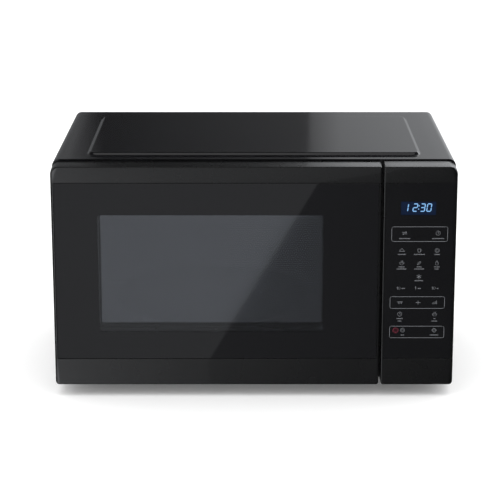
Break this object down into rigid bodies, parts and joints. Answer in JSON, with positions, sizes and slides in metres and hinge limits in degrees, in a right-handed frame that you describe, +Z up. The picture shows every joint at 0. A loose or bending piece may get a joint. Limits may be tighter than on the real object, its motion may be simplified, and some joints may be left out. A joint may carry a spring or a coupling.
{
  "type": "microwave oven",
  "caption": "Black countertop microwave oven with a side-hinged glass door, touch control panel with a lit clock, turntable and full inner works.",
  "frame": {"origin": "on the supporting surface, at the centre of the oven's outline in X and Y", "axes": "+X to the right of a person facing the oven, the front faces -Y, +Z up"},
  "size_m": [0.513, 0.38, 0.311],
  "materials": {
    "black_enamel_steel": "satin black baked enamel",
    "galvanised_steel": "satin zinc-coated sheet",
    "enamelled_chamber": "grey semi-gloss enamel",
    "plated_steel": "bright zinc plate",
    "black_abs": "satin moulded ABS",
    "panel_abs": "semi-gloss moulded ABS",
    "panel_film": "smooth printed film",
    "black_glass": "back-printed tempered glass",
    "smoked_lens": "smoked clear plastic",
    "lit_segment": "lit display segment",
    "clear_film": "clear polyester sheet",
    "perforated_steel": "black coated perforated sheet",
    "white_nylon": "natural moulded nylon",
    "tray_glass": "pressed heat-proof glass",
    "mica": "pressed mica sheet",
    "foot_plastic": "matt moulded rubber",
    "circuit_board": "solder-masked laminate",
    "laminated_iron": "varnished laminations",
    "copper_winding": "varnished magnet wire",
    "aluminium": "drawn can and fins",
    "switch_black": "moulded switch case",
    "plunger_red": "moulded plunger",
    "lamp_glass": "clear lamp glass",
    "spring_steel": "drawn spring wire"
  },
  "bodies": {
    "cabinet": {"cabinet_wrap": "black_enamel_steel", "base_plate": "galvanised_steel", "rear_panel": "galvanised_steel", "rear_duct_cover": "galvanised_steel", "rear_spacers": "black_abs", "front_plate": "black_enamel_steel", "cavity_liner": "enamelled_chamber", "feet": "foot_plastic", "cord_gland": "foot_plastic", "case_screws": "plated_steel", "upper_hinge": "galvanised_steel", "lower_hinge": "galvanised_steel", "hinge_screws": "plated_steel", "panel_housing": "panel_abs", "panel_overlay": "panel_film", "display_lens": "smoked_lens", "display_segments": "lit_segment", "touch_board": "circuit_board", "power_board": "circuit_board", "latch_board": "white_nylon", "primary_switch": "switch_black", "monitor_switch": "switch_black", "secondary_switch": "switch_black", "magnetron": "aluminium", "waveguide": "galvanised_steel", "waveguide_cover": "mica", "transformer_core": "laminated_iron", "transformer_windings": "copper_winding", "capacitor": "aluminium", "capacitor_clamp": "galvanised_steel", "high_voltage_diode": "switch_black", "noise_filter": "circuit_board", "thermal_cutouts": "switch_black", "fan_motor": "laminated_iron", "fan_shroud": "black_abs", "lamp_holder": "white_nylon", "oven_lamp": "lamp_glass", "turntable_motor": "galvanised_steel"},
    "door": {"door_frame": "black_abs", "door_glass": "black_glass", "door_choke_pan": "galvanised_steel", "door_screen": "perforated_steel", "door_inner_cover": "black_abs", "door_inner_film": "clear_film", "hinge_bushes": "white_nylon", "door_screws": "plated_steel"},
    "latch": {"latch_bar": "white_nylon", "latch_spring": "spring_steel"},
    "fan": {"fan_blade": "white_nylon"},
    "hub": {"turntable_coupler": "white_nylon"},
    "tray": {"glass_tray": "tray_glass"},
    "ring": {"roller_ring": "white_nylon"},
    "wheel_1": {"roller_1": "white_nylon"},
    "wheel_2": {"roller_2": "white_nylon"},
    "wheel_3": {"roller_3": "white_nylon"},
    "primary_button": {"primary_plunger": "plunger_red"},
    "monitor_button": {"monitor_plunger": "plunger_red"},
    "secondary_button": {"secondary_plunger": "plunger_red"}
  },
  "joints": [
    {"name": "door_hinge", "type": "hinge", "parent": "cabinet", "child": "door", "pos_m": [-0.2507, -0.1677, 0.16], "axis": [0, 0, -1], "range_deg": [0, 95]},
    {"name": "latch_slide", "type": "slide", "parent": "door", "child": "latch", "axis": [0, 0, 1], "range_m": [0, 0.004], "stiffness_N_per_m": 600, "springref_m": -0.003, "deforming": ["latch_spring"]},
    {"name": "fan_spin", "type": "hinge", "parent": "cabinet", "child": "fan", "pos_m": [0.19, 0.128, 0.205], "axis": [0, 1, 0], "continuous": true},
    {"name": "hub_spin", "type": "hinge", "parent": "cabinet", "child": "hub", "pos_m": [-0.056, -0.009, 0.066], "axis": [0, 0, 1], "continuous": true},
    {"name": "tray_lift", "type": "slide", "parent": "hub", "child": "tray", "axis": [0, 0, 1], "range_m": [0, 0.03]},
    {"name": "ring_spin", "type": "hinge", "parent": "cabinet", "child": "ring", "pos_m": [-0.056, -0.009, 0.066], "axis": [0, 0, 1], "continuous": true},
    {"name": "wheel_1_spin", "type": "hinge", "parent": "ring", "child": "wheel_1", "pos_m": [-0.056, 0.101, 0.06765], "axis": [0, 1, 0], "continuous": true},
    {"name": "wheel_2_spin", "type": "hinge", "parent": "ring", "child": "wheel_2", "pos_m": [-0.15126, -0.064, 0.06765], "axis": [-0.866, -0.5, 0], "continuous": true},
    {"name": "wheel_3_spin", "type": "hinge", "parent": "ring", "child": "wheel_3", "pos_m": [0.03926, -0.064, 0.06765], "axis": [0.866, -0.5, 0], "continuous": true},
    {"name": "primary_press", "type": "slide", "parent": "cabinet", "child": "primary_button", "axis": [0, -1, 0], "range_m": [0, 0.0015]},
    {"name": "monitor_press", "type": "slide", "parent": "cabinet", "child": "monitor_button", "axis": [0, -1, 0], "range_m": [0, 0.0015]},
    {"name": "secondary_press", "type": "slide", "parent": "cabinet", "child": "secondary_button", "axis": [0, -1, 0], "range_m": [0, 0.0015]}
  ],
  "couplings": [
    {"joint": "primary_press", "follows": "door_hinge", "m_per_rad": 0.00088658},
    {"joint": "monitor_press", "follows": "door_hinge", "m_per_rad": 0.00088658},
    {"joint": "secondary_press", "follows": "door_hinge", "m_per_rad": 0.00088658},
    {"joint": "ring_spin", "follows": "hub_spin", "ratio": 0.5},
    {"joint": "wheel_1_spin", "follows": "hub_spin", "ratio": -7.3333},
    {"joint": "wheel_2_spin", "follows": "hub_spin", "ratio": -7.3333},
    {"joint": "wheel_3_spin", "follows": "hub_spin", "ratio": -7.3333}
  ]
}
